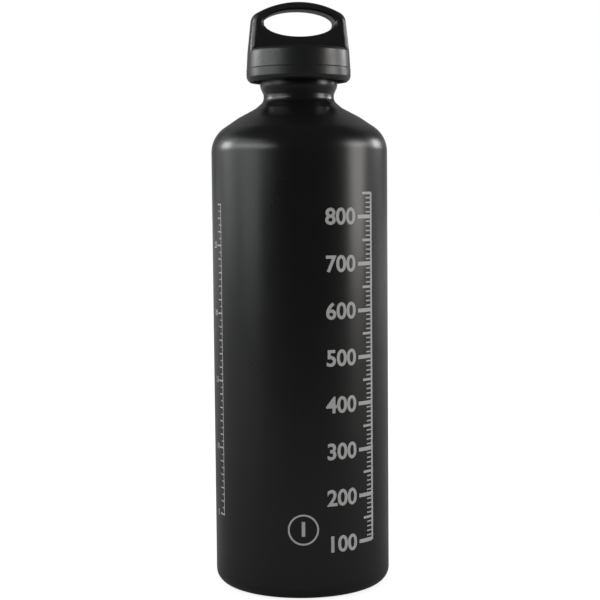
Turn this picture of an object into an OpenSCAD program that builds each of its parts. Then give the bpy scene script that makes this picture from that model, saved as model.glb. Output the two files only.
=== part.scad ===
// Camping fuel bottle: a one-piece drawn aluminium flask, a threaded ring held in its
// neck, and a push-and-turn cap with a finger loop.
// Millimetres, +Z up. The origin is on the bottle's axis, at the surface it stands on.

/* [Bottle] */
// Outside diameter of the bottle
bottle_d = 80.6; // [72:0.2:90]
// Height at which the straight wall ends and the shoulder starts
wall_top = 198.6; // [140:0.2:240]
// Thickness of the wall, shoulder and neck
wall_t = 0.8; // [0.6:0.05:1]
// Thickness of the base
base_t = 1.4; // [1:0.1:2]
// Radius of the corner round the base
foot_r = 6; // [4:0.1:9]
// Width of the flat ring that the bottle stands on
foot_w = 3; // [2:0.1:5]
// Height of the step inside that ring
foot_step = 1.6; // [1:0.1:2.4]
// Rise of the hollow base at its middle
base_rise = 4; // [3:0.1:6]
// Radius of the bend from the wall into the shoulder
shoulder_r = 13.6; // [9:0.2:18]
// Slope of the shoulder's lower part, in degrees from level
shoulder_slope = 34; // [31:1:38]
// Slope of the shoulder's upper part, in degrees from level
upper_slope = 28; // [25:1:30]
// Width of the shoulder's upper part, from the collar out
upper_w = 8; // [5:0.5:11]
// Radius of the soft bend between the shoulder's two parts
upper_bend_r = 12; // [6:1:20]
// Slope of the short collar between shoulder and neck, in degrees from level
collar_slope = 41; // [38:1:50]
// Width of the collar, from the neck's outside out to the shoulder
collar_w = 2.1; // [1.5:0.1:3]
// Radius of the soft bend where shoulder and collar meet
collar_bend_r = 3; // [1:0.5:5]

/* [Neck] */
// Outside diameter of the neck, round the threaded ring; the cap's diameters follow it
neck_d = 35.4; // [31:0.2:39]
// Depth of the groove pressed in under the threaded ring
groove_depth = 1.6; // [1.2:0.1:1.8]
// Radius of the groove's lower side
groove_r = 3.8; // [2.5:0.1:4.5]
// Height of the groove's straight floor
groove_floor = 0.8; // [0.4:0.1:1.6]
// Radius of the groove's upper side
bead_in_r = 2; // [1.2:0.1:3]
// Radius of the bulge that carries the threaded ring
bead_out_r = 6; // [4:0.5:7]
// Steepest lean of the neck between groove and bulge, in degrees from upright
bead_lean = 25; // [20:1:32]
// Height of the straight neck above the bulge
neck_h = 6.6; // [6:0.2:9]
// Outside radius of the mouth's rolled edge
mouth_roll_r = 1.2; // [1.05:0.05:1.5]

/* [Thread] */
// Distance from the crests of the stopper's thread out to the outside of the neck
ring_wall = 3.3; // [3.2:0.05:3.6]
// Rise of the thread in one turn
thread_pitch = 3.5; // [3:0.1:4]
// Depth of the thread
thread_depth = 1.2; // [0.9:0.05:1.3]
// Width of the thread's crest
thread_crest = 0.7; // [0.5:0.05:0.9]
// Lean of the thread's sides, in degrees
thread_flank = 30; // [25:1:32]
// Gap between the two threads, measured along the radius
thread_gap = 0.25; // [0.2:0.05:0.3]
// Gap between the two threads, measured along the axis
thread_side_gap = 0.2; // [0.15:0.05:0.3]
// Height of the threaded ring
ring_h = 9.8; // [8.5:0.1:11]
// Gap between the threaded ring and the neck around it
ring_gap = 0.03; // [0.01:0.01:0.1]

/* [Stopper and seal] */
// Height of the seal between the mouth and the stopper's flange
seal_h = 1.4; // [1:0.1:2.4]
// Width of the seal's ring
seal_w = 3.6; // [3:0.1:3.8]
// Gap between the seal and the stopper's neck
seal_gap = 0.1; // [0.05:0.05:0.2]
// Length of the plug below the mouth
plug_len = 11; // [9:0.5:14]
// Height at which the plug's thread starts, above the plug's end
thread_start = 1.2; // [0.8:0.1:2]
// Length of the plug's threaded part
plug_thread_len = 7; // [6:0.25:8]
// Wall of the hollow plug
plug_wall = 2.2; // [1.6:0.1:2.6]
// Thickness of the stopper's flange
flange_t = 2; // [1.8:0.1:3]
// Thickness of the web that closes the plug
web_t = 2; // [1.4:0.1:2.4]
// Width of the slot that vents the bottle as the cap is turned
vent_w = 2.4; // [1.6:0.1:3.2]

/* [Push-and-turn drive] */
// Number of drive teeth on the stopper, and on the cap
teeth = 12; // [8:1:13]
// Width of a tooth at its root
tooth_w = 3.6; // [3:0.1:4]
// Width of a tooth at its tip
tooth_tip_w = 2.6; // [2:0.1:2.8]
// Height of the stopper's teeth
tooth_h = 1.5; // [1.2:0.1:1.8]
// Length of a tooth along the radius
tooth_len = 3; // [2.4:0.1:3.4]
// Distance from the flange's edge to the middle of the teeth
tooth_inset = 2.6; // [2:0.1:3]
// How far the cap is pushed down to drive the stopper
press_travel = 1.8; // [1.6:0.1:2]

/* [Lock spring and washer] */
// Height of the wave spring as fitted
spring_h = 3.4; // [3.2:0.1:5]
// Thickness of the spring's strip
strip_t = 0.4; // [0.3:0.05:0.5]
// Width of the spring's strip
strip_w = 2.8; // [2:0.1:3]
// Gap between the washer above the spring and the teeth around it
teeth_gap = 1.7; // [1:0.1:2]
// Turns of the spring
spring_turns = 2; // [1:1:3]
// Waves in each turn, half a wave out of step from turn to turn
waves = 3.5; // [2.5,3.5,4.5]
// Gap between crest and trough where two turns of the strip come nearest
strip_gap = 0.1; // [0.05:0.05:0.2]
// Thickness of the washer above the spring
washer_t = 0.5; // [0.4:0.1:0.8]

/* [Cap] */
// Height of the skirt's straight lower band
band_h = 5.8; // [5:0.2:8]
// How far the skirt leans in from its band to the flat top
cap_taper = 0.5; // [0.3:0.1:1]
// Thickness of the cap's flat top
cap_top_t = 2; // [2:0.1:3]
// Chamfer round the skirt's bottom edge, along the radius
rim_bevel = 1.2; // [0.8:0.1:1.2]
// Rounding of the edge between skirt and flat top
ledge_r = 1.8; // [0.8:0.1:1.8]
// Depth of the fine line above the straight band
line_depth = 0.25; // [0.15:0.05:0.35]
// Gap between the stopper's flange and the skirt's bore
bore_gap = 0.5; // [0.3:0.05:0.6]
// How much wider the skirt's mouth is than its bore, along the radius
mouth_step = 1.4; // [1.2:0.1:1.6]
// Depth of that wider mouth
cap_mouth_h = 4; // [3.4:0.1:4.2]
// Thickness of the skirt's straight band, round its mouth
band_wall = 2; // [2:0.1:3]
// Distance from the skirt's bottom edge up to the bottle's mouth
skirt_drop = 5.6; // [5.4:0.1:5.8]

/* [Retaining ring] */
// Gap between the ring and the neck inside it
snap_clear = 0.6; // [0.4:0.05:0.8]
// Thickness of the ring that holds the stopper in the cap
snap_t = 1.2; // [1:0.1:1.4]
// How far that ring reaches in under the stopper's flange
snap_reach = 1.6; // [1.2:0.1:1.7]
// How far it sits in the skirt's groove
snap_seat = 0.7; // [0.5:0.1:0.8]
// Opening in the ring, in degrees
snap_open = 24; // [16:1:40]

/* [Finger loop] */
// Height of the loop above the cap's flat top
loop_h = 21.1; // [20.6:0.1:26]
// Thickness of the loop, front to back
loop_t = 14; // [12:0.5:18]
// Turn of the loop about the bottle's axis, in degrees
loop_turn = 6.5; // [0:0.5:30]
// Lean of the loop's sides, in degrees from upright
loop_lean = 6.3; // [3:0.1:9]
// Radius of the loop's arched crown
crown_r = 39; // [32:1:60]
// Radius of the corners between the loop's sides and its crown
corner_r = 4.8; // [3:0.2:7]
// Width of the loop's material beside its hole
loop_side_w = 5.6; // [5:0.1:7]
// Height of the hole through the loop
hole_h = 12; // [9:0.2:12.4]
// Height of the solid foot under the hole
hole_foot = 5.3; // [3:0.1:5.8]
// Rounding of the loop's outer edges
loop_round = 2; // [1:0.25:2.5]
// Rounding of the hole's edges
hole_round = 2; // [0.8:0.2:2.4]

/* [Hidden] */
$fn = 96;

black_paint = "#1b1b1c";
black_plastic = "#202123";
dark_plastic = "#3a3d42";
bare_metal = "#c3c6c9";
spring_steel = "#9aa0a6";
seal_rubber = "#5a2f2a";

arc_steps = 12;
eps = 0.01;
// How far teeth and thread ridges are sunk into the body that carries them
root_sink = 0.3;

// Radii of the bottle
bottle_r = bottle_d / 2;
neck_r = neck_d / 2;
neck_groove_r = neck_r - groove_depth;
collar_r = neck_r + collar_w;

// Centre of the bend from wall to shoulder, and the bend's upper end
shoulder_c = [bottle_r - shoulder_r, wall_top];
shoulder_end = shoulder_c + shoulder_r * [sin(shoulder_slope), cos(shoulder_slope)];
// Corner where the shoulder's two parts meet, and the centre of their soft bend
upper_r = collar_r + upper_w;
upper_z = shoulder_end.y + (shoulder_end.x - upper_r) * tan(shoulder_slope);
upper_mid_slope = (shoulder_slope + upper_slope) / 2;
upper_bend_c = [upper_r, upper_z] - upper_bend_r / cos((shoulder_slope - upper_slope) / 2)
    * [sin(upper_mid_slope), cos(upper_mid_slope)];
// Corner where the shoulder meets the collar, and the centre of their soft bend
collar_z = upper_z + upper_w * tan(upper_slope);
collar_mid_slope = (upper_slope + collar_slope) / 2;
collar_bend_c = [collar_r, collar_z] + collar_bend_r / cos((collar_slope - upper_slope) / 2)
    * [sin(collar_mid_slope), cos(collar_mid_slope)];
// Centre of the groove's lower side, tangent to the collar's line
groove_start_r = neck_groove_r + groove_r * (1 - sin(collar_slope));
groove_z = collar_z + (collar_r - groove_start_r) * tan(collar_slope) + groove_r * cos(collar_slope);
groove_c = [neck_groove_r + groove_r, groove_z];
// Centres of the groove's upper side and of the bulge
bead_in_c = [neck_groove_r + bead_in_r, groove_z + groove_floor];
bead_lean_w = groove_depth - (bead_in_r + bead_out_r) * (1 - cos(bead_lean));
bead_z = bead_in_c.y + (bead_in_r + bead_out_r) * sin(bead_lean) + bead_lean_w / tan(bead_lean);
bead_out_c = [neck_r - bead_out_r, bead_z];
// Height of the mouth, and the centre of its rolled edge
mouth_z = bead_z + neck_h;
mouth_roll_c = [neck_r - mouth_roll_r, mouth_z - mouth_roll_r];

// Threaded ring: its top is under the rolled edge of the mouth
ring_top = mouth_z - wall_t;
ring_bottom = ring_top - ring_h;
crest_r = neck_r - ring_wall;
core_r = crest_r - thread_depth;
ring_bore_r = core_r + thread_gap;
ring_root_r = crest_r + thread_gap;
// The mouth's opening stands back a little from the ring's thread
mouth_set_back = 0.15;
mouth_hole_r = ring_root_r + mouth_set_back;

// Seal, stopper and the parts above it, stacked on the mouth
flange_z = mouth_z + seal_h;
crown_z = flange_z + flange_t;
washer_z = crown_z + spring_h;
ceiling_z = washer_z + washer_t;
plug_end = mouth_z - plug_len;
seal_in_r = core_r + seal_gap;

// Retaining ring round the neck, flange over the ring, and skirt round the flange
snap_in_r = neck_r + snap_clear;
flange_r = snap_in_r + snap_reach;
cap_bore_r = flange_r + bore_gap;
snap_out_r = cap_bore_r + snap_seat;
cap_mouth_r = cap_bore_r + mouth_step;
cap_r = cap_mouth_r + band_wall;
cap_top_r = cap_r - cap_taper;

// Drive teeth near the flange's edge, with the spring and its washer inside them
washer_lap = 0.3;
tooth_mid_r = flange_r - tooth_inset;
spring_mid_r = tooth_mid_r - tooth_len / 2 - teeth_gap - washer_lap - strip_w / 2;

// Cap
rim_z = mouth_z - skirt_drop;
top_z = ceiling_z + cap_top_t;
// The cap's teeth reach down to this gap above the stopper's flange when the cap is pushed
tooth_end_gap = 0.2;
cap_tooth_h = ceiling_z - crown_z - press_travel - tooth_end_gap;
// The retaining ring is just clear of the flange
snap_gap = 0.05;
snap_z = flange_z - snap_gap - snap_t;

// Loop: its body starts where the skirt's rounded edge does, and its hole follows its sides
loop_top = top_z + loop_h;
loop_foot_z = top_z - ledge_r;
hole_z = top_z + hole_foot + hole_h / 2;
loop_side_r = cap_top_r - (hole_z - loop_foot_z) * tan(loop_lean);
hole_w = 2 * (loop_side_r - loop_side_w);

// Points along an arc, from angle a to angle b
function arc(c, r, a, b, n = arc_steps) =
    [for (i = [0 : n]) c + r * [cos(a + (b - a) * i / n), sin(a + (b - a) * i / n)]];

// Outline of the neck above the groove, from the bulge up, moved inwards by t
function bulge_line(t) = arc(bead_out_c, bead_out_r - t, -bead_lean, 0);

// Outline of the bottle's side from the wall up to the mouth, moved inwards by t
function side_line(t) = concat(
    arc(shoulder_c, shoulder_r - t, 0, 90 - shoulder_slope, 24),
    arc(upper_bend_c, upper_bend_r - t, 90 - shoulder_slope, 90 - upper_slope, 3),
    arc(collar_bend_c, collar_bend_r + t, 270 - upper_slope, 270 - collar_slope, 4),
    arc(groove_c, groove_r + t, 270 - collar_slope, 180),
    arc(bead_in_c, bead_in_r + t, 180, 180 - bead_lean, 6),
    bulge_line(t),
    arc(mouth_roll_c, mouth_roll_r - t, 0, 90, 8));

// Outline of the hollow base, lifted by t, from the axis out to the standing ring
step_r = bottle_r - foot_r - foot_w;
dome_r = step_r - foot_step;
dome_rise = base_rise - foot_step;
dome_big_r = (dome_r * dome_r + dome_rise * dome_rise) / (2 * dome_rise);
function base_line(t) = concat(
    arc([0, base_rise - dome_big_r + t], dome_big_r, 90, 90 - asin(dome_r / dome_big_r)),
    [[step_r, t]]);

module bottle_shell() {
    inner_foot_r = foot_r - wall_t;
    outer = concat(base_line(0), arc([bottle_r - foot_r, foot_r], foot_r, -90, 0), side_line(0));
    inner = concat(base_line(base_t),
        arc([bottle_r - foot_r, base_t + inner_foot_r], inner_foot_r, -90, 0), side_line(wall_t));
    lip = [[mouth_hole_r, mouth_z], [mouth_hole_r, mouth_z - wall_t]];
    color(black_paint)
        rotate_extrude($fn = 180)
            polygon(concat(outer, lip, [for (i = [len(inner) - 1 : -1 : 0]) inner[i]]));
}

// Faces of a strip with a four-sided section, whose n + 1 sections follow one another
function strip_faces(n) = concat(
    [for (i = [0 : n - 1], k = [0 : 3]) let (a = 4 * i + k, b = 4 * i + (k + 1) % 4)
        each [[a, b, a + 4], [b, b + 4, a + 4]]],
    [[0, 2, 1], [0, 3, 2], [4 * n, 4 * n + 1, 4 * n + 2], [4 * n, 4 * n + 2, 4 * n + 3]]);

// Ridge of a screw thread: a solid that climbs one pitch a turn from height z, between the
// radii r0 and r1, and grow wider than the stopper's own thread by grow on each side
thread_steps = 40;
function half_width(r, grow) = thread_crest / 2 + (crest_r - r) * tan(thread_flank) + grow;
function thread_section(r0, r1, grow) = [
    [r0, -half_width(r0, grow)], [r1, -half_width(r1, grow)],
    [r1, half_width(r1, grow)], [r0, half_width(r0, grow)]];

module thread_ridge(z, length, r0, r1, grow = 0, fade = 0) {
    n = ceil(length / thread_pitch * thread_steps);
    // The ends of a ridge with a fade sink into the core over that part of a turn
    function sink(i) = fade == 0 ? 1 : min(1, i / (fade * thread_steps), (n - i) / (fade * thread_steps));
    points = [for (i = [0 : n]) let (
            a = 360 * i / thread_steps + 360 * z / thread_pitch,
            tip = r0 + (r1 - r0) * max(0.02, sink(i)))
        for (p = thread_section(r0, tip, grow))
            [p.x * cos(a), p.x * sin(a), z + p.y + thread_pitch * i / thread_steps]];
    polyhedron(points = points, faces = strip_faces(n));
}

module neck_thread_ring() {
    fit_t = wall_t + ring_gap;
    top_bevel = mouth_roll_r - wall_t + 0.1;
    side = [for (p = bulge_line(fit_t)) if (p.y > ring_bottom) p];
    foot = [side[0].x - (side[0].y - ring_bottom) * tan(bead_lean), ring_bottom];
    color(bare_metal)
        difference() {
            rotate_extrude()
                polygon(concat([[ring_bore_r, ring_bottom], foot], side,
                    [[neck_r - fit_t, ring_top - top_bevel], [neck_r - fit_t - top_bevel, ring_top],
                     [ring_bore_r, ring_top]]));
            thread_ridge(ring_bottom - thread_pitch, ring_h + 2 * thread_pitch,
                ring_bore_r - root_sink, ring_root_r, thread_side_gap);
        }
}

module mouth_seal() {
    edge = 0.35;
    out_r = seal_in_r + seal_w;
    color(seal_rubber)
        rotate_extrude()
            polygon([
                [seal_in_r, flange_z - edge], [seal_in_r, mouth_z + edge],
                [seal_in_r + edge, mouth_z], [out_r - edge, mouth_z],
                [out_r, mouth_z + edge], [out_r, flange_z - edge],
                [out_r - edge, flange_z], [seal_in_r + edge, flange_z]]);
}

// One tooth that stands up from level 0 on the circle of the drive teeth
module tooth(height) {
    translate([tooth_mid_r - tooth_len / 2, 0, 0])
        rotate([90, 0, 90])
            linear_extrude(tooth_len)
                polygon([[-tooth_w / 2, -root_sink], [tooth_w / 2, -root_sink], [tooth_w / 2, 0],
                    [tooth_tip_w / 2, height], [-tooth_tip_w / 2, height], [-tooth_w / 2, 0]]);
}

module tooth_row(height) {
    for (i = [0 : teeth - 1])
        rotate([0, 0, i * 360 / teeth])
            tooth(height);
}

module stopper() {
    hollow_r = core_r - plug_wall;
    hollow_top = crown_z - web_t;
    lead_in = 0.8;
    edge = 0.4;
    thread_fade = 0.15;
    // The vent slot cuts the thread and a little of the core, and ends below the seal
    vent_depth = 0.4;
    vent_end = mouth_z - 2;
    color(dark_plastic)
        difference() {
            union() {
                rotate_extrude()
                    polygon([
                        [hollow_r, plug_end], [core_r - lead_in, plug_end],
                        [core_r, plug_end + lead_in], [core_r, flange_z],
                        [flange_r - edge, flange_z], [flange_r, flange_z + edge],
                        [flange_r, crown_z - edge], [flange_r - edge, crown_z],
                        [0, crown_z], [0, hollow_top], [hollow_r, hollow_top]]);
                thread_ridge(plug_end + thread_start + half_width(core_r, 0), plug_thread_len,
                    core_r - root_sink, crest_r, 0, thread_fade);
                translate([0, 0, crown_z])
                    tooth_row(tooth_h);
            }
            translate([core_r - vent_depth, -vent_w / 2, plug_end - 1])
                cube([2 * thread_depth, vent_w, vent_end - plug_end + 1]);
        }
}

// The strip's middle line is flat at both ends and waves in between
spring_steps = 48;
spring_rise = spring_h - strip_t;
wave = (spring_rise - spring_turns * (strip_t + strip_gap)) / (2 * (spring_turns + 1));
function strip_z(turn) = let (swing = wave * min(1, 2 * turn, 2 * (spring_turns - turn)))
    crown_z + strip_t / 2 + (spring_rise - 2 * swing) * turn / spring_turns
        + swing * (1 + sin(360 * waves * turn - 90));

module lock_spring() {
    n = spring_turns * spring_steps;
    r0 = spring_mid_r - strip_w / 2;
    r1 = spring_mid_r + strip_w / 2;
    half_t = strip_t / 2;
    points = [for (i = [0 : n]) let (a = 360 * i / spring_steps, z = strip_z(i / spring_steps))
        for (p = [[r0, -half_t], [r1, -half_t], [r1, half_t], [r0, half_t]])
            [p.x * cos(a), p.x * sin(a), z + p.y]];
    color(spring_steel)
        polyhedron(points = points, faces = strip_faces(n));
}

module slip_washer() {
    half_w = strip_w / 2 + washer_lap;
    color(bare_metal)
        translate([0, 0, washer_z])
            difference() {
                cylinder(h = washer_t, r = spring_mid_r + half_w);
                translate([0, 0, -1])
                    cylinder(h = washer_t + 2, r = spring_mid_r - half_w);
            }
}

module retaining_ring() {
    edge = 0.3;
    color(dark_plastic)
        rotate([0, 0, 270 + snap_open / 2])
            rotate_extrude(angle = 360 - snap_open)
                polygon([
                    [snap_in_r, snap_z + edge], [snap_in_r + edge, snap_z],
                    [snap_out_r - edge, snap_z], [snap_out_r, snap_z + edge],
                    [snap_out_r, snap_z + snap_t], [snap_in_r, snap_z + snap_t]]);
}

// Outline of the cap from the skirt's bottom edge to the edge of its flat top
band_top = rim_z + band_h;
rim_edge = 0.3;
rim_bevel_h = 2.1;
line_h = 0.4;
// The chamfer is steeper in its upper part, which starts at its middle
rim_bend_h = 0.8;
// The side above the fine line leans in by this many degrees where the rounded edge starts
side_lean = 5;
function skirt_line() = concat(
    [[cap_r - rim_bevel, rim_z + rim_edge], [cap_r - rim_bevel / 2, rim_z + rim_bend_h],
     [cap_r, rim_z + rim_bevel_h], [cap_r, band_top],
     [cap_r - line_depth, band_top + line_h / 2], [cap_r - line_depth / 2, band_top + line_h]],
    arc([cap_top_r - ledge_r, top_z - ledge_r], ledge_r, side_lean, 90, 6));

// Centre of the crown's arc, and of the corner that touches both the crown and the leaning side
crown_c = [0, loop_top - crown_r];
side_dir = [-sin(loop_lean), cos(loop_lean)];
corner_from = [cap_top_r, loop_foot_z] - corner_r * [cos(loop_lean), sin(loop_lean)] - crown_c;
corner_back = corner_from * side_dir;
corner_up = sqrt(pow(corner_back, 2) - corner_from * corner_from + pow(crown_r - corner_r, 2));
corner_c = crown_c + corner_from + (corner_up - corner_back) * side_dir;
crown_start = atan2(corner_c.y - crown_c.y, corner_c.x);
crown_steps = 7;

// Outline of the loop's round body, moved inwards by t, from below the flat top to its summit
function loop_line(t) = concat(
    [[0, loop_foot_z], [cap_top_r - t / cos(loop_lean), loop_foot_z]],
    arc(corner_c, corner_r - t, loop_lean, crown_start, 6),
    arc(crown_c, crown_r - t, crown_start + (90 - crown_start) / crown_steps, 90, crown_steps - 1));

// The loop's body at angle a of its rounded edges: 0 has its full outline, 90 its full thickness
module loop_layer(a) {
    t = loop_round * (1 - cos(a));
    thick = loop_t - 2 * loop_round * (1 - sin(a));
    intersection() {
        rotate_extrude($fn = 72)
            polygon(loop_line(t));
        translate([-cap_r, -thick / 2, loop_foot_z - 1])
            cube([2 * cap_r, thick, loop_top - loop_foot_z + 2]);
    }
}

function ellipse(w, h) = [for (a = [0 : 7.5 : 352.5]) [w / 2 * cos(a), h / 2 * sin(a)]];

module hole_slice(grow, thick) {
    translate([0, thick / 2, hole_z])
        rotate([90, 0, 0])
            linear_extrude(thick)
                polygon(ellipse(hole_w + 2 * grow, hole_h + 2 * grow));
}

module finger_loop() {
    difference() {
        hull()
            for (a = [0, 45, 90])
                loop_layer(a);
        hole_slice(0, loop_t + 2);
        for (side = [-1, 1])
            hull() {
                translate([0, side * (loop_t / 2 - hole_round), 0])
                    hole_slice(0, eps);
                translate([0, side * loop_t / 2, 0])
                    hole_slice(hole_round, eps);
            }
    }
}

module cap_shell() {
    groove_gap = 0.1;
    edge = 0.4;
    bore_top = rim_z + cap_mouth_h;
    color(black_plastic)
        union() {
            difference() {
                rotate_extrude($fn = 144)
                    polygon(concat(
                        [[cap_mouth_r, bore_top], [cap_mouth_r, rim_z + edge],
                         [cap_mouth_r + edge, rim_z], [cap_r - rim_bevel - rim_edge, rim_z]],
                        skirt_line(),
                        [[0, top_z], [0, ceiling_z], [cap_bore_r, ceiling_z],
                         [cap_bore_r, bore_top + mouth_step]]));
                // Groove for the retaining ring
                translate([0, 0, snap_z])
                    cylinder(h = snap_t + groove_gap, r = snap_out_r + groove_gap, $fn = 144);
            }
            rotate([0, 0, loop_turn])
                finger_loop();
            // Drive teeth under the cap's top, half a step out of line with the stopper's
            translate([0, 0, ceiling_z])
                rotate([180, 0, 180 / teeth])
                    tooth_row(cap_tooth_h);
        }
}

bottle_shell();
neck_thread_ring();
mouth_seal();
stopper();
retaining_ring();
lock_spring();
slip_washer();
cap_shell();
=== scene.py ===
# Studio scene for a camping fuel bottle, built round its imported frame.
# Outlines are drawn in millimetres, +Z up, with the bottle's axis on the origin,
# and scaled to metres when a piece is finished. Angles are in degrees.
from math import acos, atan2, cos, degrees, pi, radians, sin, sqrt

import bmesh
import bpy
from mathutils import Matrix, Vector


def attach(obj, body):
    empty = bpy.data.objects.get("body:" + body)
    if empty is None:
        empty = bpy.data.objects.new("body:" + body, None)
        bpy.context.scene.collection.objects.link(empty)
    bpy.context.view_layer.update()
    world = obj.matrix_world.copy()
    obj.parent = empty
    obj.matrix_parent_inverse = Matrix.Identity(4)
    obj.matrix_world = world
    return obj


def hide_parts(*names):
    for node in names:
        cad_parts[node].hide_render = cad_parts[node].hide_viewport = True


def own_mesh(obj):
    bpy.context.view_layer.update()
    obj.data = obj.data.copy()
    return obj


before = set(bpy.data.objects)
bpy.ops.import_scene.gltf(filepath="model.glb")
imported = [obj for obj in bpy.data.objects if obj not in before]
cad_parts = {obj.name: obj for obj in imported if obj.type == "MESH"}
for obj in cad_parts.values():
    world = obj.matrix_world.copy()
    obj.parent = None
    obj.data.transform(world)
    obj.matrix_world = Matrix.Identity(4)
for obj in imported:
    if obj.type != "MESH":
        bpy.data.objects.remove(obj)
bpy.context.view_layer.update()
mm = 0.001
roundSteps = 192  # steps of the large turned shapes
cornerReach = 0.01  # how near a corner of an outline is looked for
mergeReach = 0.0005  # how near two points are made one
print("frame loaded:", ", ".join(sorted(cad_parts)))


# camera at the photograph's place, looking slightly down
camera = {
    "place": (0, -0.66216, 0.18137), "tilt": 4.390, "yaw": 0.021, "roll": 0.505,
    "lens": 86.07, "sensor": 36, "near": 0.05, "far": 50,
}

cameraData = bpy.data.cameras.new("camera")
cameraData.lens = camera["lens"]
cameraData.sensor_width = camera["sensor"]
cameraData.clip_start = camera["near"]
cameraData.clip_end = camera["far"]
cameraObject = bpy.data.objects.new("camera", cameraData)
cameraObject.matrix_world = (
    Matrix.Translation(camera["place"])
    @ Matrix.Rotation(radians(camera["yaw"]), 4, "Z")
    @ Matrix.Rotation(radians(90 - camera["tilt"]), 4, "X")
    @ Matrix.Rotation(radians(-camera["roll"]), 4, "Z")
)
bpy.context.scene.collection.objects.link(cameraObject)
bpy.context.scene.camera = cameraObject
print("camera placed")


def newMaterial(name, color, roughness, metallic=0.0, specular=0.5):
    material = bpy.data.materials.new(name)
    material.use_nodes = True
    shader = material.node_tree.nodes["Principled BSDF"]
    shader.inputs["Base Color"].default_value = (*color, 1)
    shader.inputs["Roughness"].default_value = roughness
    shader.inputs["Metallic"].default_value = metallic
    shader.inputs["Specular IOR Level"].default_value = specular
    return material


def addNode(material, kind, inputs=(), **settings):
    node = material.node_tree.nodes.new(kind)
    for key, value in settings.items():
        setattr(node, key, value)
    for key, value in dict(inputs).items():
        if isinstance(value, bpy.types.NodeSocket):
            material.node_tree.links.new(value, node.inputs[key])
        else:
            node.inputs[key].default_value = value
    return node


def combine(material, operation, first, second):
    return addNode(material, "ShaderNodeMath", {0: first, 1: second}, operation=operation).outputs[0]


def objectPlace(material, scale=(1, 1, 1)):
    place = addNode(material, "ShaderNodeTexCoord").outputs["Object"]
    return addNode(material, "ShaderNodeMapping", {"Vector": place, "Scale": scale}).outputs["Vector"]


def noise(material, vector, scale, detail=3.0, roughness=0.5):
    values = {"Vector": vector, "Scale": scale, "Detail": detail, "Roughness": roughness}
    return addNode(material, "ShaderNodeTexNoise", values).outputs["Fac"]


def spread(material, value, low, high, fromLow=0.3, fromHigh=0.7):
    # maps fromLow and fromHigh, which a noise seldom passes, to low and high
    values = {"Value": value, "From Min": fromLow, "From Max": fromHigh, "To Min": low, "To Max": high}
    return addNode(material, "ShaderNodeMapRange", values).outputs["Result"]


def tint(material, factor, first, second):
    ramp = addNode(material, "ShaderNodeValToRGB", {"Fac": factor})
    ramp.color_ramp.elements[0].color = (*first, 1)
    ramp.color_ramp.elements[1].color = (*second, 1)
    return ramp.outputs["Color"]


def setInput(material, key, value):
    material.node_tree.links.new(value, material.node_tree.nodes["Principled BSDF"].inputs[key])


def addBump(material, height, distance, strength):
    values = {"Height": height, "Distance": distance, "Strength": strength}
    setInput(material, "Normal", addNode(material, "ShaderNodeBump", values).outputs["Normal"])


def makePaint():
    # satin black lacquer: faint orange peel, slow changes of gloss and of colour
    material = newMaterial("satinBlackLacquer", color=(0.0028, 0.0028, 0.0029), roughness=0.29)
    place = objectPlace(material)
    slow = noise(material, place, scale=28, detail=4, roughness=0.6)
    fine = noise(material, place, scale=900, detail=2)
    setInput(material, "Roughness", spread(material, slow, low=0.26, high=0.32))
    dark, light = (0.0024, 0.0024, 0.0025), (0.0033, 0.0033, 0.0034)
    setInput(material, "Base Color", tint(material, slow, dark, light))
    addBump(material, fine, distance=0.00001, strength=0.25)
    return material


def makeInk():
    # screen-printed grey ink, a little uneven
    material = newMaterial("greyInk", color=(0.27, 0.27, 0.266), roughness=0.5)
    place = objectPlace(material)
    grain = noise(material, place, scale=1600)
    slow = noise(material, place, scale=60)
    setInput(material, "Base Color", tint(material, slow, (0.25, 0.25, 0.246), (0.29, 0.29, 0.286)))
    setInput(material, "Roughness", spread(material, grain, low=0.42, high=0.6))
    addBump(material, grain, distance=0.00001, strength=0.5)
    return material


def makePlastic(name, dark, light, rough, grain):
    # moulded plastic with a fine spark-eroded grain
    material = newMaterial(name, dark, rough)
    place = objectPlace(material)
    fine = noise(material, place, scale=grain, roughness=0.6)
    slow = noise(material, place, scale=45, detail=4, roughness=0.6)
    setInput(material, "Base Color", tint(material, slow, dark, light))
    setInput(material, "Roughness", spread(material, slow, low=rough - 0.05, high=rough + 0.07))
    addBump(material, fine, distance=0.00003, strength=0.5)
    return material


def makeMetal(name, dark, light, rough, stretch):
    # turned or rolled metal: the scale is small along the tool's path and large across it
    material = newMaterial(name, light, rough, metallic=1.0)
    marks = noise(material, objectPlace(material, stretch), scale=1, roughness=0.7)
    slow = noise(material, objectPlace(material), scale=80)
    setInput(material, "Base Color", tint(material, slow, dark, light))
    setInput(material, "Roughness", spread(material, marks, low=rough - 0.08, high=rough + 0.1))
    addBump(material, marks, distance=0.00002, strength=0.4)
    return material


def makeRubber():
    material = newMaterial("sealRubber", color=(0.09, 0.028, 0.022), roughness=0.62, specular=0.4)
    place = objectPlace(material)
    fine = noise(material, place, scale=1400, roughness=0.6)
    slow = noise(material, place, scale=130)
    setInput(material, "Base Color", tint(material, slow, (0.075, 0.022, 0.018), (0.115, 0.038, 0.03)))
    setInput(material, "Roughness", spread(material, fine, low=0.52, high=0.72))
    addBump(material, fine, distance=0.00003, strength=0.6)
    return material


# each colour changes slowly between dark and light
capBlack = {"dark": (0.0045, 0.0047, 0.0051), "light": (0.0060, 0.0063, 0.0067)}
stopperGrey = {"dark": (0.035, 0.037, 0.041), "light": (0.048, 0.05, 0.055)}
turnedGrey = {"dark": (0.62, 0.63, 0.64), "light": (0.76, 0.77, 0.78)}
drawnGrey = {"dark": (0.5, 0.51, 0.52), "light": (0.68, 0.69, 0.7)}
steelGrey = {"dark": (0.42, 0.43, 0.45), "light": (0.55, 0.56, 0.58)}

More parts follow.
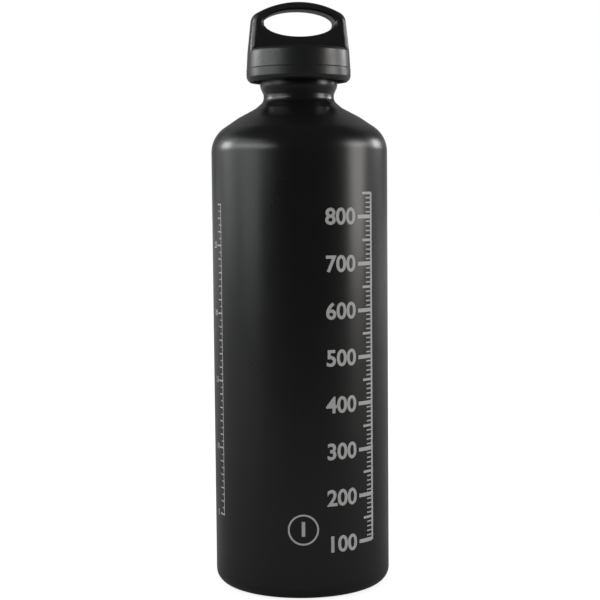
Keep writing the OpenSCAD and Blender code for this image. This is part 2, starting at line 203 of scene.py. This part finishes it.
paint = makePaint()
ink = makeInk()
capPlastic = makePlastic("capPlastic", **capBlack, rough=0.38, grain=2600)
capTopPlastic = makePlastic("capTopPlastic", **capBlack, rough=0.58, grain=1500)  # a coarser grain
stopperPlastic = makePlastic("stopperPlastic", **stopperGrey, rough=0.5, grain=2200)
turnedAluminium = makeMetal("turnedAluminium", **turnedGrey, rough=0.34, stretch=(60, 60, 9000))
drawnAluminium = makeMetal("drawnAluminium", **drawnGrey, rough=0.42, stretch=(900, 900, 40))
springSteel = makeMetal("springSteel", **steelGrey, rough=0.36, stretch=(2400, 2400, 9000))
sealRubber = makeRubber()
print("materials made")


def drawLine(start, steps):
    # a line in the plane y = 0, from start through the steps
    bm = bmesh.new()
    tip = bm.verts.new((start[0], 0, start[1]))
    for step in steps:
        if len(step) == 2:  # straight to (x, z)
            tip = bmesh.ops.extrude_vert_indiv(bm, verts=[tip])["verts"][0]
            tip.co = (step[0], 0, step[1])
        else:  # arc about (x, z), by an angle, in a number of steps; anticlockwise with +X to the right
            x, z, angle, count = step
            arc = bmesh.ops.spin(
                bm, geom=[tip], cent=(x, 0, z), axis=(0, -1, 0), angle=radians(angle), steps=count,
            )
            tip = next(v for v in arc["geom_last"] if isinstance(v, bmesh.types.BMVert))
    return bm


def softenCorners(bm, roundings):
    # rounds the line's corners that are listed under each size
    for size, corners in roundings.items():
        for x, z in corners:
            found = [v for v in bm.verts if abs(v.co.x - x) < cornerReach and abs(v.co.z - z) < cornerReach]
            bmesh.ops.bevel(
                bm, geom=found, offset=size, segments=3, profile=0.5, affect="VERTICES", material=-1,
            )


def spinRound(bm, center=(0, 0, 0), axis=(0, 0, 1), steps=roundSteps):
    drawn = bm.verts[:] + bm.edges[:]
    bmesh.ops.spin(bm, geom=drawn, cent=center, axis=axis, angle=2 * pi, steps=steps, use_merge=True)
    bmesh.ops.remove_doubles(bm, verts=bm.verts, dist=mergeReach)
    bmesh.ops.recalc_face_normals(bm, faces=bm.faces)


def finishPiece(bm, name, body, materials, sharpAngle=32):
    # edges that bend by more than sharpAngle stay sharp
    bmesh.ops.scale(bm, vec=(mm, mm, mm), verts=bm.verts)
    for face in bm.faces:
        face.smooth = True
    for edge in bm.edges:
        edge.smooth = edge.calc_face_angle(0) < radians(sharpAngle)
    mesh = bpy.data.meshes.new(name)
    bm.to_mesh(mesh)
    bm.free()
    for material in materials:
        mesh.materials.append(material)
    piece = bpy.data.objects.new(name, mesh)
    bpy.context.scene.collection.objects.link(piece)
    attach(piece, body)
    return piece


def flatShading(piece):
    # keeps flat faces even beside rounded edges
    weighted = piece.modifiers.new("evenFaces", "WEIGHTED_NORMAL")
    weighted.keep_sharp = True


# bottle: the outside is drawn and spun, and the wall gets its thickness inwards
bottleRadius = 40.3

bottle = {
    "start": (0, 4),  # top of the hollow base, on the axis
    "steps": [
        (0, -180.969, -9.240, 12), (31.3, 0), (34.3, 0), (34.3, 6, 90, 10),  # base, standing ring, corner
        (bottleRadius, 198.6), (26.7, 198.6, 56, 32),  # wall and bend into the shoulder
        (28.321, 213.911), (21.611, 203.962, 6, 4),  # the shoulder's slopes and the soft bend between them
        (20.102, 218.356), (21.510, 221.005, -13, 6), (17.407, 220.597),  # collar
        (19.9, 223.464, -49, 14), (16.1, 224.264), (18.1, 224.264, -25, 8),  # groove
        (17.138, 226.933), (11.7, 229.469, 25, 8),  # bulge round the threaded ring
        (17.7, 234.869), (16.5, 234.869, 90, 8), (14.8, 236.069),  # rolled mouth
    ],
    "roundings": {0.3: [(31.3, 0), (34.3, 0)]},
    "wall": 0.8,
    "inset": 0.03,  # room for the ink inside the solid's size
}


def makeBottle():
    bm = drawLine(bottle["start"], bottle["steps"])
    softenCorners(bm, bottle["roundings"])
    spinRound(bm)
    shrink = 1 - bottle["inset"] / bottleRadius
    bmesh.ops.scale(bm, vec=(shrink, shrink, 1), verts=bm.verts)
    piece = finishPiece(bm, "bottleBody", "bottle", [paint, drawnAluminium])
    wall = piece.modifiers.new("wall", "SOLIDIFY")
    wall.thickness = bottle["wall"] * mm
    wall.offset = -1
    wall.material_offset = 1  # bare metal inside and on the rim
    wall.material_offset_rim = 1
    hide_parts("bottle_shell")


makeBottle()
print("bottle made")


# cap: one moulding of a turned skirt, the drive teeth under its top and the finger loop
capCeiling = 243.40  # just clear of the washer
capEdge = 243.569  # where the rounded edge of the flat top begins

cap = {
    "start": (0, 245.369),
    "steps": [
        (21.5, 245.369), (21.5, capEdge, -85, 8),  # flat top and its rounded edge
        (23.675, 236.669), (23.55, 236.469), (23.8, 236.269), (23.8, 232.569),  # side, fine line and band
        (23.2, 231.269), (22.6, 230.769), (22.3, 230.469), (22.2, 230.469),  # chamfer
        (21.8, 230.869), (21.8, 234.469), (20.4, 235.869),  # mouth and bore
        (20.4, 236.219), (21.2, 236.219), (21.2, 237.519), (20.4, 237.519),  # groove for the ring
        (20.4, capCeiling), (0, capCeiling),
    ],
    "roundings": {
        0.25: [(23.8, 232.569), (23.2, 231.269), (22.6, 230.769)],
        0.08: [(23.675, 236.669), (23.55, 236.469), (23.8, 236.269)],
    },
    "levelFrom": 0.99,  # a face is level when its normal's z is above this
}

# the teeth hang from the ceiling, and their roots are sunk in it
teeth = {
    "count": 12, "shift": 0.5,  # half a step out of line with the stopper's teeth
    "place": 17.3, "length": 3, "height": 1.9, "sunk": 0.3,  # radius of their middle, length along it
    "root": 3.6, "tip": 2.6,  # width at the root and at the tip
}

loop = {
    "turn": 6.5, "thickness": 14, "start": (23.3, capEdge), "lean": 6.3,
    "corner": (16.970, 257.162, 4.8), "crown": (0, 227.469, 39),  # arcs: centre and radius
    "crownFrom": 60.25,  # angle at which the crown takes over from the corner
    "holeWidth": 32.5, "holeHeight": 12, "holeMiddle": 256.669,
    "edge": 2.0, "outerShare": 0.35, "holeShare": 0.58,  # roundings, at most these shares of the web
    "sideSteps": 6, "cornerSteps": 8, "crownSteps": 18, "bottomSteps": 26, "edgeSteps": 6, "depthSteps": 6,
}


def arcPoint(arc, angle):
    x, z, radius = arc
    return x + radius * cos(radians(angle)), z + radius * sin(radians(angle))


def loopSection(depth):
    # outline of the loop's round body cut at that depth from its middle, from its summit round to the left
    low, high = loop["start"], arcPoint(loop["corner"], loop["lean"])
    last = degrees(acos(abs(depth) / loop["crown"][2]))
    line = []
    for step in range(loop["sideSteps"]):
        share = step / loop["sideSteps"]
        line.append((low[0] + (high[0] - low[0]) * share, low[1] + (high[1] - low[1]) * share))
    for step in range(loop["cornerSteps"]):
        share = step / loop["cornerSteps"]
        line.append(arcPoint(loop["corner"], loop["lean"] + (loop["crownFrom"] - loop["lean"]) * share))
    for step in range(loop["crownSteps"] + 1):
        share = 1 - (1 - step / loop["crownSteps"]) ** 2  # finer towards the summit
        line.append(arcPoint(loop["crown"], loop["crownFrom"] + (last - loop["crownFrom"]) * share))
    half = [(sqrt(max(0, radius**2 - depth**2)), z) for radius, z in line]
    width, count = half[0][0], loop["bottomSteps"]
    bottom = [(-width + 2 * width * step / count, low[1]) for step in range(1, count)]
    return [(-x, z) for x, z in reversed(half)] + bottom + half[:-1]


def holePoint(x, z):
    # the point of the hole's edge that faces a point of the outline
    middle = loop["holeMiddle"]
    angle = atan2((z - middle) / loop["holeHeight"], x / loop["holeWidth"])
    return loop["holeWidth"] / 2 * cos(angle), middle + loop["holeHeight"] / 2 * sin(angle)


def addRing(bm, points):
    ring = [bm.verts.new(point) for point in points]
    return [bm.edges.new((a, b)) for a, b in zip(ring, ring[1:] + ring[:1])]


def makeLoop():
    half = loop["thickness"] / 2
    face = loopSection(half)
    hole = [holePoint(x, z) for x, z in face]
    gaps = [sqrt((a[0] - b[0]) ** 2 + (a[1] - b[1]) ** 2) for a, b in zip(face, hole)]
    outerEdges = [min(loop["edge"], loop["outerShare"] * gap) for gap in gaps]
    holeEdges = [min(loop["edge"], loop["holeShare"] * gap) for gap in gaps]

    def outerRing(depth, inward):
        # inward is the share of the rounding by which the edge has gone in at that depth
        ring = []
        for (x, z), (holeX, holeZ), gap, edge in zip(loopSection(depth), hole, gaps, outerEdges):
            move = 0 if z <= loop["start"][1] else inward * edge / gap
            ring.append((x + (holeX - x) * move, depth, z + (holeZ - z) * move))
        return ring

    def holeRing(depth, outward):
        ring = []
        for (x, z), (holeX, holeZ), gap, edge in zip(face, hole, gaps, holeEdges):
            move = outward * edge / gap
            ring.append((holeX + (x - holeX) * move, depth, holeZ + (z - holeZ) * move))
        return ring

    # the depth of each ring, from one face to the other, and how far its rounding has gone
    flat = half - loop["edge"]
    turns = [pi / 2 * step / loop["edgeSteps"] for step in range(1, loop["edgeSteps"] + 1)]
    depths = [(flat * step / loop["depthSteps"], 0) for step in range(loop["depthSteps"] + 1)]
    depths += [(half - loop["edge"] * (1 - sin(turn)), 1 - cos(turn)) for turn in turns]
    depths = [(-depth, move) for depth, move in reversed(depths[1:])] + depths
    bm = bmesh.new()
    outer = [addRing(bm, outerRing(*place)) for place in depths]
    inner = [addRing(bm, holeRing(*place)) for place in depths]
    for rings in (outer, inner):
        for a, b in zip(rings, rings[1:]):
            bmesh.ops.bridge_loops(bm, edges=a + b)
    for end in (0, -1):
        bmesh.ops.triangle_fill(bm, use_beauty=True, edges=outer[end] + inner[end])
    bmesh.ops.recalc_face_normals(bm, faces=bm.faces)
    turned = Matrix.Rotation(radians(loop["turn"]), 3, "Z")
    bmesh.ops.rotate(bm, cent=(0, 0, 0), matrix=turned, verts=bm.verts)
    return bm


def makeTeeth():
    bm = bmesh.new()
    height = teeth["height"] + teeth["sunk"]
    middle = capCeiling + teeth["sunk"] - height / 2
    size = Matrix.Diagonal((teeth["length"], teeth["root"], height, 1))
    for step in range(teeth["count"]):
        turned = Matrix.Rotation(2 * pi * (step + teeth["shift"]) / teeth["count"], 4, "Z")
        place = turned @ Matrix.Translation((teeth["place"], 0, middle))
        cube = bmesh.ops.create_cube(bm, size=1, matrix=place @ size)["verts"]
        along, across = turned.to_3x3().col[:2]
        for v in cube:
            if v.co.z < capCeiling:  # narrower at the tip
                aside = (v.co - along * teeth["place"]).dot(across)
                v.co -= across * aside * (1 - teeth["tip"] / teeth["root"])
    return bm


def makeCap():
    bm = drawLine(cap["start"], cap["steps"])
    softenCorners(bm, cap["roundings"])
    spinRound(bm)
    for face in bm.faces:
        if face.normal.z > cap["levelFrom"] and face.calc_center_median().z > capCeiling:
            face.material_index = 1  # the flat top's own plastic
    skirt = finishPiece(bm, "capSkirt", "cap", [capPlastic, capTopPlastic])
    finishPiece(makeTeeth(), "capTeeth", "cap", [capPlastic], sharpAngle=20)
    ring = finishPiece(makeLoop(), "fingerLoop", "cap", [capPlastic])
    flatShading(ring)
    flatShading(skirt)
    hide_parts("cap_shell")


makeCap()
print("cap made")


# print on the wall: a scale with plain figures on the right, a finer one on the left, and a ringed figure
scales = {
    "rightScale": {
        "edge": 35.5, "side": -1,  # place round the wall from the front, and the side the marks reach to
        "zero": 24.5, "step": 2.07, "marks": 75, "line": 1.2,
        # every how many, length and thickness of a kind of mark
        "long": (10, 8.0, 1.7), "middle": (5, 5.2, 1.1), "short": (1, 3.0, 0.6),
        "figures": 10, "figureFrom": 100, "figureStep": 100, "figurePlace": 16.9, "bold": 0.025,
    },
    "leftScale": {
        "edge": -43.5, "side": -1,
        "zero": 34.4, "step": 3.06, "marks": 46, "line": 0.5,
        "long": (10, 3.8, 0.7), "middle": (2, 3.0, 0.55), "short": (1, 1.8, 0.45),
        "figures": 3.8, "figureFrom": 5, "figureStep": 5, "figurePlace": 6.6, "bold": 0.02,
    },
}
lineEnd = 0.5  # how far a scale's line goes on past its first and last mark
ringedMark = {
    "place": (0.4, 32), "outer": 6.9, "inner": 6.1, "steps": 64,
    "figure": "1", "size": 8.6, "bold": 0.04,
}
printLayer = {"inside": 40.25, "thickness": 0.04, "strip": 1.5}  # inner radius, and width of a strip


def addBar(bm, left, right, bottom, top):
    place = Matrix.Translation(((left + right) / 2, 0, (bottom + top) / 2)) @ Matrix.Rotation(pi / 2, 4, "X")
    size = Matrix.Diagonal((right - left, top - bottom, 1, 1))
    bmesh.ops.create_grid(bm, x_segments=1, y_segments=1, size=0.5, matrix=place @ size)


def addFigure(bm, text, x, z, size, bold):
    curve = bpy.data.curves.new("figure", "FONT")
    curve.body = text
    curve.size = size
    curve.offset = bold * size
    curve.align_x = "CENTER"
    curve.align_y = "CENTER"
    holder = bpy.data.objects.new("figure", curve)
    mesh = bpy.data.meshes.new_from_object(holder)
    mesh.transform(Matrix.Translation((x, 0, z)) @ Matrix.Rotation(pi / 2, 4, "X"))
    bm.from_mesh(mesh)
    bpy.data.objects.remove(holder)
    bpy.data.curves.remove(curve)
    bpy.data.meshes.remove(mesh)


def wrapPrint(bm):
    # the flat print is cut into strips, gets its thickness and goes round the wall
    places = [v.co.x for v in bm.verts]
    left, strip = min(places), printLayer["strip"]
    for step in range(1, int((max(places) - left) / strip) + 1):
        whole = bm.verts[:] + bm.edges[:] + bm.faces[:]
        bmesh.ops.bisect_plane(bm, geom=whole, plane_co=(left + step * strip, 0, 0), plane_no=(1, 0, 0))
    raised = bmesh.ops.extrude_face_region(bm, geom=bm.faces[:], use_keep_orig=True)["geom"]
    raised = [v for v in raised if isinstance(v, bmesh.types.BMVert)]
    bmesh.ops.translate(bm, vec=(0, -printLayer["thickness"], 0), verts=raised)
    bmesh.ops.recalc_face_normals(bm, faces=bm.faces)
    for v in bm.verts:
        radius, angle = printLayer["inside"] - v.co.y, v.co.x / bottleRadius
        v.co = (radius * sin(angle), -radius * cos(angle), v.co.z)


def makeScale(name, values):
    bm = bmesh.new()
    edge, side, zero = values["edge"], values["side"], values["zero"]
    kinds = (values["long"], values["middle"], values["short"])
    for mark in range(values["marks"] + 1):
        every, length, thick = next(kind for kind in kinds if mark % kind[0] == 0)
        height = zero + values["step"] * mark
        addBar(bm, *sorted((edge, edge + side * length)), height - thick / 2, height + thick / 2)
        if every == values["long"][0]:
            number = values["figureFrom"] + values["figureStep"] * mark // every
            place = edge + side * values["figurePlace"]
            addFigure(bm, str(number), place, height, values["figures"], values["bold"])
    top = zero + values["step"] * values["marks"]
    addBar(bm, edge, edge + values["line"], zero - lineEnd, top + lineEnd)
    wrapPrint(bm)
    finishPiece(bm, name, "bottle", [ink])


def makeRingedFigure():
    bm = bmesh.new()
    x, z = ringedMark["place"]
    start = bm.verts.new((x + ringedMark["inner"], 0, z))
    end = bmesh.ops.extrude_vert_indiv(bm, verts=[start])["verts"][0]
    end.co.x = x + ringedMark["outer"]
    spinRound(bm, center=(x, 0, z), axis=(0, 1, 0), steps=ringedMark["steps"])
    addFigure(bm, ringedMark["figure"], x, z, ringedMark["size"], ringedMark["bold"])
    wrapPrint(bm)
    finishPiece(bm, "ringedFigure", "bottle", [ink])


for name, values in scales.items():
    makeScale(name, values)
makeRingedFigure()
print("print made")


# lock spring: its imported shape, as a piece of its own
lockSpring = {"merge": 0.000001, "foot": 0.239469, "keep": 0.47}  # metres, and the share of height it keeps


def makeSpring():
    bm = bmesh.new()
    bm.from_mesh(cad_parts["lock_spring"].data)
    bmesh.ops.remove_doubles(bm, verts=bm.verts, dist=lockSpring["merge"])
    bmesh.ops.scale(bm, vec=(1 / mm, 1 / mm, 1 / mm), verts=bm.verts)
    piece = finishPiece(bm, "lockSpring", "stopper", [springSteel], sharpAngle=40)
    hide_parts("lock_spring")
    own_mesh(piece)


makeSpring()
print("spring made")


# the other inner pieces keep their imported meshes
innerFinishes = {
    "neck_thread_ring": turnedAluminium, "mouth_seal": sealRubber, "stopper": stopperPlastic,
    "retaining_ring": stopperPlastic, "slip_washer": springSteel,
}
for node, material in innerFinishes.items():
    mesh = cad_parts[node].data
    mesh.materials.clear()
    mesh.materials.append(material)
print("inner pieces finished")


# floor and light, in metres; most pairs say between which places one thing turns into the next
studio = {
    "floorSize": 8, "floorParts": 8, "floorRough": 0.9,
    "floorColor": (0.17, 0.17, 0.17), "floorGlow": 0.84,
    "fill": 1.1,  # what matt surfaces see all round
    "dark": 0.05,  # what glossy surfaces see where there is no panel
    "floorFar": (0.03, 0.03, 0.03), "farToNear": (-0.9, -0.2),  # the floor in front, as they see it
    "floorBackdrop": (0.3, 1.2),  # the floor behind the bottle, which they see turn into a white backdrop
    "backdropWide": (0.8, 0.94), "backdropTop": (0.34, 0.46),  # the backdrop's sides and top
    "mirrored": (0.1, 0.36),  # how bright they see the backdrop's middle and its sides
    "floorAside": (0.15, 0.9), "worldAside": (0.08, 0.28),  # from its middle to its sides
    "aim": (0, 0, 0.14),  # where the panels look
}

# tints of the panels' light
cool = (0.95, 1, 0.98)
warm = (1, 0.975, 0.93)

# azimuth from the camera's side, to the left when negative; metres; glow is the panel's radiance
panels = {
    "leftFront": {"azimuth": -66, "height": 0.40, "width": 0.46, "tall": 0.62, "glow": 2.0, "color": cool},
    "leftSide": {"azimuth": -98, "height": 0.40, "width": 0.46, "tall": 0.62, "glow": 1.35, "color": cool},
    "leftRear": {"azimuth": -126, "height": 0.38, "width": 0.36, "tall": 0.6, "glow": 0.5, "color": cool},
    "leftHigh": {"azimuth": -45, "height": 0.39, "width": 0.2, "tall": 0.24, "glow": 1.2, "color": cool},
    "leftEdge": {"azimuth": -64, "height": 0.45, "width": 0.95, "tall": 0.06, "glow": 9},
    "leftLamp": {"azimuth": -110, "height": 0.43, "width": 0.24, "tall": 0.2, "glow": 13, "distance": 0.9},
    "rightStrip": {"azimuth": 78.5, "height": 0.34, "width": 0.36, "tall": 0.5, "glow": 5.7, "color": warm},
    "rightEdge": {"azimuth": 88, "height": 0.44, "width": 0.45, "tall": 0.06, "glow": 7},
    "rightLamp": {"azimuth": 121, "height": 0.41, "width": 0.2, "tall": 0.2, "glow": 14, "distance": 0.9},
    "rearRight": {"azimuth": 117, "height": 0.22, "width": 0.7, "tall": 0.5, "glow": 0.33, "distance": 1.0},
    "highLeft": {"azimuth": -148, "height": 1.05, "width": 0.8, "tall": 0.6, "glow": 0.27, "distance": 1.1},
    "highRight": {"azimuth": 148, "height": 1.05, "width": 0.8, "tall": 0.6, "glow": 0.27, "distance": 1.1},
}


def addPanel(name, azimuth, height, width, tall, glow, distance=0.85, color=(1, 1, 1)):
    data = bpy.data.lights.new(name, "AREA")
    data.shape = "RECTANGLE"
    data.size = width
    data.size_y = tall
    data.energy = glow * pi * width * tall  # watts that give this radiance
    data.color = color
    lamp = bpy.data.objects.new(name, data)
    angle = radians(azimuth)
    lamp.location = (distance * sin(angle), -distance * cos(angle), height)
    lamp.rotation_mode = "QUATERNION"
    lamp.rotation_quaternion = (Vector(studio["aim"]) - lamp.location).to_track_quat("-Z", "Y")
    bpy.context.scene.collection.objects.link(lamp)


def mirrorBackdrop(material, x, aside):
    # how bright glossy surfaces see the backdrop: least straight behind the bottle, more to both sides
    away = addNode(material, "ShaderNodeMath", {0: x}, operation="ABSOLUTE").outputs[0]
    return spread(material, away, *studio["mirrored"], *aside)


def makeFloor():
    bm = bmesh.new()
    parts = studio["floorParts"]
    bmesh.ops.create_grid(bm, x_segments=parts, y_segments=parts, size=studio["floorSize"])
    mesh = bpy.data.meshes.new("floor")
    bm.to_mesh(mesh)
    bm.free()
    floor = bpy.data.objects.new("floor", mesh)
    bpy.context.scene.collection.objects.link(floor)
    material = newMaterial("paleFloor", studio["floorColor"], studio["floorRough"], specular=0.0)
    tree = material.node_tree
    rays = addNode(material, "ShaderNodeLightPath").outputs
    place = addNode(material, "ShaderNodeTexCoord").outputs["Object"]
    split = addNode(material, "ShaderNodeSeparateXYZ", {"Vector": place}).outputs
    # glossy surfaces see the floor in front of the bottle darker with distance
    near = spread(material, split["Y"], 0, 1, *studio["farToNear"])
    near = combine(material, "MAXIMUM", near, rays["Is Camera Ray"])
    setInput(material, "Base Color", tint(material, near, studio["floorFar"], studio["floorColor"]))
    # it glows for the camera, and for glossy surfaces where it belongs to the backdrop
    behind = spread(material, split["Y"], 0, 1, *studio["floorBackdrop"])
    mirrored = mirrorBackdrop(material, split["X"], studio["floorAside"])
    mirrored = combine(material, "MULTIPLY", behind, mirrored)
    glossy = combine(material, "MULTIPLY", rays["Is Glossy Ray"], mirrored)
    direct = combine(material, "MAXIMUM", rays["Is Camera Ray"], rays["Is Transmission Ray"])
    seen = combine(material, "MAXIMUM", direct, glossy)
    strength = combine(material, "MULTIPLY", seen, studio["floorGlow"])
    glow = addNode(material, "ShaderNodeEmission", {"Strength": strength})
    shader = tree.nodes["Principled BSDF"]
    both = addNode(material, "ShaderNodeAddShader", {0: shader.outputs[0], 1: glow.outputs[0]})
    tree.links.new(both.outputs[0], tree.nodes["Material Output"].inputs["Surface"])
    mesh.materials.append(material)


def makeWorld():
    world = bpy.data.worlds.new("studio")
    bpy.context.scene.world = world
    world.use_nodes = True
    background = world.node_tree.nodes["Background"]
    background.inputs["Color"].default_value = (1, 1, 1, 1)
    rays = addNode(world, "ShaderNodeLightPath").outputs
    direction = addNode(world, "ShaderNodeTexCoord").outputs["Generated"]
    split = addNode(world, "ShaderNodeSeparateXYZ", {"Vector": direction}).outputs
    # glossy surfaces see a backdrop behind the bottle, and dark all round it
    wide = spread(world, split["Y"], 0, 1, *studio["backdropWide"])
    low = spread(world, split["Z"], 1, 0, *studio["backdropTop"])
    low = combine(world, "MULTIPLY", low, mirrorBackdrop(world, split["X"], studio["worldAside"]))
    backdrop = combine(world, "MULTIPLY", wide, low)
    mirrored = spread(world, backdrop, low=studio["dark"], high=1, fromLow=0, fromHigh=1)
    values = {"Factor": rays["Is Glossy Ray"], "A": studio["fill"], "B": mirrored}
    glossy = addNode(world, "ShaderNodeMix", values).outputs["Result"]
    # the camera sees white, also through clear pieces
    seen = combine(world, "MAXIMUM", rays["Is Camera Ray"], rays["Is Transmission Ray"])
    strength = addNode(world, "ShaderNodeMix", {"Factor": seen, "A": glossy, "B": 1.0}).outputs["Result"]
    world.node_tree.links.new(strength, background.inputs["Strength"])


makeFloor()
makeWorld()
for name, values in panels.items():
    addPanel(name, **values)
bpy.context.scene.view_settings.view_transform = "Standard"
print("studio lit")
